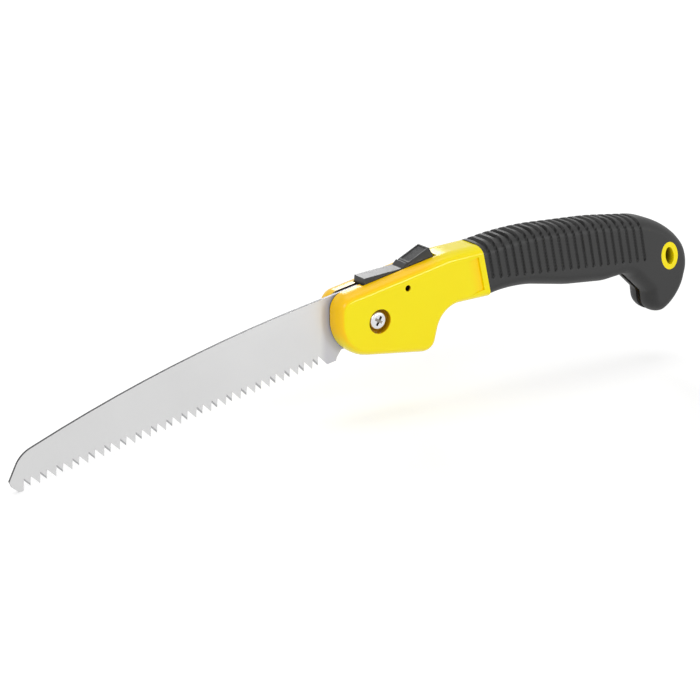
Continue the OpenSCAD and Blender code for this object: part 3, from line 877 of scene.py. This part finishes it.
# Glass-filled nylon: near black and half glossy with a faint skin, and matt on the pad, whose grain
# is drawn coarse enough to show.
black_nylon = blank_material("moulded black nylon")
place = add(black_nylon, "ShaderNodeTexCoord").outputs["Object"]
from_pad = add(black_nylon, "ShaderNodeVectorMath", {0: place, 1: pad_front}, operation="SUBTRACT")
over_pad = add(black_nylon, "ShaderNodeVectorMath", {
    0: from_pad.outputs[0],
    1: pad_normal,
}, operation="DOT_PRODUCT").outputs["Value"]
on_pad = add(black_nylon, "ShaderNodeMath", {
    0: over_pad,
    1: -pad_sunk,
    2: pad_tolerance,
}, operation="COMPARE").outputs[0]
cloud = add(black_nylon, "ShaderNodeTexNoise", {"Vector": place, "Scale": 1 / (8.33 * MM), "Detail": 2.0})
shade = add(black_nylon, "ShaderNodeMix", {
    "Factor": cloud.outputs["Fac"],
    "A": linear("#141517"),
    "B": linear("#1B1C1E"),
}, data_type="RGBA")
grain = add(black_nylon, "ShaderNodeTexVoronoi", {"Vector": place, "Scale": 1 / pad_grain_w})
fine = add(black_nylon, "ShaderNodeTexNoise", {"Vector": place, "Scale": 1 / skin_grain_w, "Detail": 2.0})
relief = add(black_nylon, "ShaderNodeMix", {
    "Factor": on_pad,
    "A": fine.outputs["Fac"],
    "B": grain.outputs["Distance"],
}, data_type="FLOAT")
depth = add(black_nylon, "ShaderNodeMapRange", {"Value": on_pad, "To Min": 0.015 * MM, "To Max": 0.2 * MM})
skin = add(black_nylon, "ShaderNodeBump", {
    "Height": relief.outputs["Result"],
    "Distance": depth.outputs["Result"],
    "Strength": 0.5,
})
gloss = add(black_nylon, "ShaderNodeMapRange", {"Value": on_pad, "To Min": 0.34, "To Max": 0.62})
shader = add(black_nylon, "ShaderNodeBsdfPrincipled", {
    "Base Color": shade.outputs["Result"],
    "Roughness": gloss.outputs["Result"],
    "Normal": skin.outputs["Normal"],
    "IOR": 1.53,
})
add(black_nylon, "ShaderNodeOutputMaterial", {"Surface": shader.outputs["BSDF"]})
lever = welded_copy("lock_lever", "rocker_lever")
break_edges(lever, 0.25 * MM)
finish(lever, black_nylon, "lever_plastic", "lever", "lock_lever")

# ---- The lever's pin and spring ----
# A slotted spring pin pressed through both cheeks, left hollow and oil-black from hardening, and
# the coil of drawn wire that keeps the nose down.

low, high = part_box("lever_pin")
slit_half = math.radians(9)
bpy.ops.mesh.primitive_cylinder_add(vertices=48, radius=(high.x - low.x) / 2, depth=high.y - low.y,
                                    end_fill_type="NOTHING", rotation=(math.pi / 2, 0, 0),
                                    location=(low + high) / 2)
pin = bpy.context.object
pin.name = "slotted_pin"
bpy.ops.object.transform_apply()
bpy.ops.object.mode_set(mode="EDIT")
bpy.ops.mesh.select_mode(type="FACE")
bpy.ops.mesh.select_all(action="DESELECT")
bpy.ops.object.mode_set(mode="OBJECT")
for face in pin.data.polygons:
    face.select = face.normal.x > math.cos(slit_half)
bpy.ops.object.mode_set(mode="EDIT")
bpy.ops.mesh.delete(type="FACE")
bpy.ops.object.mode_set(mode="OBJECT")
wall = pin.modifiers.new("wall", "SOLIDIFY")
wall.thickness = 0.4 * MM
wall.offset = -1
apply_modifiers(pin)
break_edges(pin, 0.08 * MM)

# Steel quenched in oil: a brown-black metal with a soft shine.
spring_steel = blank_material("oil-black spring steel")
place = add(spring_steel, "ShaderNodeTexCoord").outputs["Object"]
cloud = add(spring_steel, "ShaderNodeTexNoise", {"Vector": place, "Scale": 1 / (1.43 * MM), "Detail": 2.0})
shade = add(spring_steel, "ShaderNodeMix", {
    "Factor": cloud.outputs["Fac"],
    "A": linear("#2E2A26"),
    "B": linear("#3B3632"),
}, data_type="RGBA")
shader = add(spring_steel, "ShaderNodeBsdfPrincipled", {
    "Base Color": shade.outputs["Result"],
    "Metallic": 1.0,
    "Roughness": 0.4,
})
add(spring_steel, "ShaderNodeOutputMaterial", {"Surface": shader.outputs["BSDF"]})
finish(pin, spring_steel, "spring_steel", "handle", "lever_pin")

low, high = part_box("lever_spring")
wire_r = 0.35 * MM
coil_r = (high.x - low.x) / 2 - wire_r
spring_turns = 4
steps_per_turn = 28
foot = Vector(((low.x + high.x) / 2, (low.y + high.y) / 2, low.z + wire_r))
bpy.context.scene.cursor.location = foot
bpy.ops.mesh.primitive_circle_add(vertices=16, radius=wire_r, rotation=(math.pi / 2, 0, 0),
                                  location=foot + Vector((coil_r, 0, 0)))
spring = bpy.context.object
spring.name = "coil_spring"
bpy.ops.object.transform_apply(location=False)
bpy.ops.object.origin_set(type="ORIGIN_CURSOR")
wind = spring.modifiers.new("coil", "SCREW")
wind.angle = spring_turns * 2 * math.pi
wind.screw_offset = high.z - low.z - 2 * wire_r
wind.steps = spring_turns * steps_per_turn
wind.render_steps = wind.steps
apply_modifiers(spring)
bpy.ops.object.transform_apply()
bpy.ops.object.mode_set(mode="EDIT")
bpy.ops.mesh.select_all(action="SELECT")
bpy.ops.mesh.fill_holes(sides=0)
bpy.ops.mesh.normals_make_consistent(inside=False)
bpy.ops.object.mode_set(mode="OBJECT")
bpy.ops.object.shade_smooth_by_angle(angle=math.radians(40))
spring.data.materials.append(spring_steel)
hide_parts("lever_spring")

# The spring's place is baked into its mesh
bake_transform(spring)

# ---- Floor, backdrop and light ----
# A pale floor just under the blade's toe, a white surround and four soft lamps. The back lamp
# brightens the top faces, and the low one draws the thin streak along the head's rim.

floor_z = cad_box[0][2]
bpy.ops.mesh.primitive_plane_add(size=12, location=(0, 0, floor_z))
floor = bpy.context.object
floor.name = "floor"

# White paper: matt, and lifted towards white more and more with the distance, so that its far part
# shows no grey band behind the saw. Gloss mirrors it as plain white.
paper = blank_material("white paper")
dull = add(paper, "ShaderNodeBsdfDiffuse", {"Color": linear("#F2F2F2")})
sheet = add(paper, "ShaderNodeTexCoord").outputs["Object"]
far = add(paper, "ShaderNodeVectorMath", {0: sheet}, operation="LENGTH").outputs["Value"]
paler = add(paper, "ShaderNodeMapRange", {
    "Value": far,
    "From Min": 0.5,
    "From Max": 2.5,
    "To Min": 0.24,
    "To Max": 0.7,
})
lift = add(paper, "ShaderNodeEmission", {"Strength": paler.outputs["Result"]})
raised = add(paper, "ShaderNodeAddShader", {0: dull.outputs[0], 1: lift.outputs[0]})
glow = add(paper, "ShaderNodeEmission", {"Strength": 1.0})
rays = add(paper, "ShaderNodeLightPath")
mirrored = add(paper, "ShaderNodeMath", {
    0: rays.outputs["Is Glossy Ray"],
    1: rays.outputs["Is Transmission Ray"],
}, operation="MAXIMUM")
shown_floor = add(paper, "ShaderNodeMixShader", {
    "Fac": rays.outputs["Is Camera Ray"],
    1: dull.outputs[0],
    2: raised.outputs[0],
})
surface = add(paper, "ShaderNodeMixShader", {
    "Fac": mirrored.outputs[0],
    1: shown_floor.outputs[0],
    2: glow.outputs[0],
})
add(paper, "ShaderNodeOutputMaterial", {"Surface": surface.outputs[0]})
floor.data.materials.append(paper)

# A white room: the light that it sheds is softer than the white that the camera and gloss see
world = bpy.data.worlds.new("white room")
bpy.context.scene.world = world
world.use_nodes = True
world.node_tree.nodes.clear()
rays = add(world, "ShaderNodeLightPath")
shown_white = rays.outputs["Is Camera Ray"]
for kind in ("Is Glossy Ray", "Is Transmission Ray"):
    shown_white = add(world, "ShaderNodeMath", {0: shown_white, 1: rays.outputs[kind]},
                      operation="MAXIMUM").outputs[0]
brightness = add(world, "ShaderNodeMapRange", {"Value": shown_white, "To Min": 0.56, "To Max": 1.0})
room = add(world, "ShaderNodeBackground", {"Color": (1, 1, 1, 1), "Strength": brightness.outputs["Result"]})
add(world, "ShaderNodeOutputWorld", {"Surface": room.outputs[0]})

for name, spot, size, power in (
    ("key lamp", (-1.3, -1.1, 0.9), (0.8, 0.8), 7.5),
    ("top lamp", (-0.1, 0.1, 1.4), (1.0, 1.0), 4),
    ("back lamp", (0.45, 1.51, 0.92), (0.55, 0.55), 7.6),
    ("low lamp", (0.4, -1.1, 0.16), (0.3, 0.2), 3.5),
):
    bpy.ops.object.light_add(type="AREA", location=spot)
    lamp = bpy.context.object
    lamp.name = name
    lamp.data.shape = "RECTANGLE"
    lamp.data.size, lamp.data.size_y = size
    lamp.data.energy = power
    lamp.rotation_euler = (aim - Vector(spot)).to_track_quat("-Z", "Y").to_euler()

bpy.context.scene.view_settings.view_transform = "Standard"

# ---- Offsets ----
# How far each thing shows from its image point, in pixels, and how far the outermost shown points lie
# from the saw's edges in the picture.

bpy.context.view_layer.update()
eye = camera.matrix_world.translation
scene = bpy.context.scene
view = bpy.context.evaluated_depsgraph_get()


def shown(piece):
    """The image points of a piece's vertices that the camera sees."""
    found = []
    for vertex in piece.data.vertices:
        way = piece.matrix_world @ vertex.co - eye
        if not scene.ray_cast(view, eye, way.normalized(), distance=way.length - 0.1 * MM)[0]:
            found.append(seen_at(piece.matrix_world @ vertex.co))
    return found


def middle(found):
    return Vector([(min(p[k] for p in found) + max(p[k] for p in found)) / 2 for k in (0, 1)])


seen = {piece: shown(piece) for piece in (core, grip, blade, screw, lever)}
everywhere = [point for found in seen.values() for point in found]
cheek_y = cad_box[0][1]
now = {
    "blade_tip": min(seen[blade], key=lambda p: p.x),
    "heel_tooth": min(seen[blade], key=lambda p: (p - Vector(points["heel_tooth"])).length),
    "head_front": min(seen[core], key=lambda p: (p - Vector(points["head_front"])).length),
    "pivot_screw": middle(seen[screw]),
    "lever_pin": seen_at((lever_axis.x, cheek_y, lever_axis.z)),
    "lever_nose": min(seen[lever], key=lambda p: p.x),
    "thumb_crest": min(seen[lever], key=lambda p: p.y),
    "grip_front": min(seen[grip], key=lambda p: p.x),
    "first_groove_foot": seen_at(first_foot),
    "last_groove_foot": seen_at(last_foot),
    "hook_foot": max(seen[grip], key=lambda p: p.y),
    "hanging_hole": seen_at((0, cheek_y, 0)),
}
off = {name: [round(d, 1) for d in now[name] - Vector(point)] for name, point in points.items()}
off["left_x"] = round(min(p.x for p in everywhere) - left_x, 1)
off["right_x"] = round(max(p.x for p in everywhere) - right_x, 1)
off["top_y"] = round(min(p.y for p in everywhere) - top_y, 1)
off["bottom_y"] = round(max(p.y for p in everywhere) - bottom_y, 1)
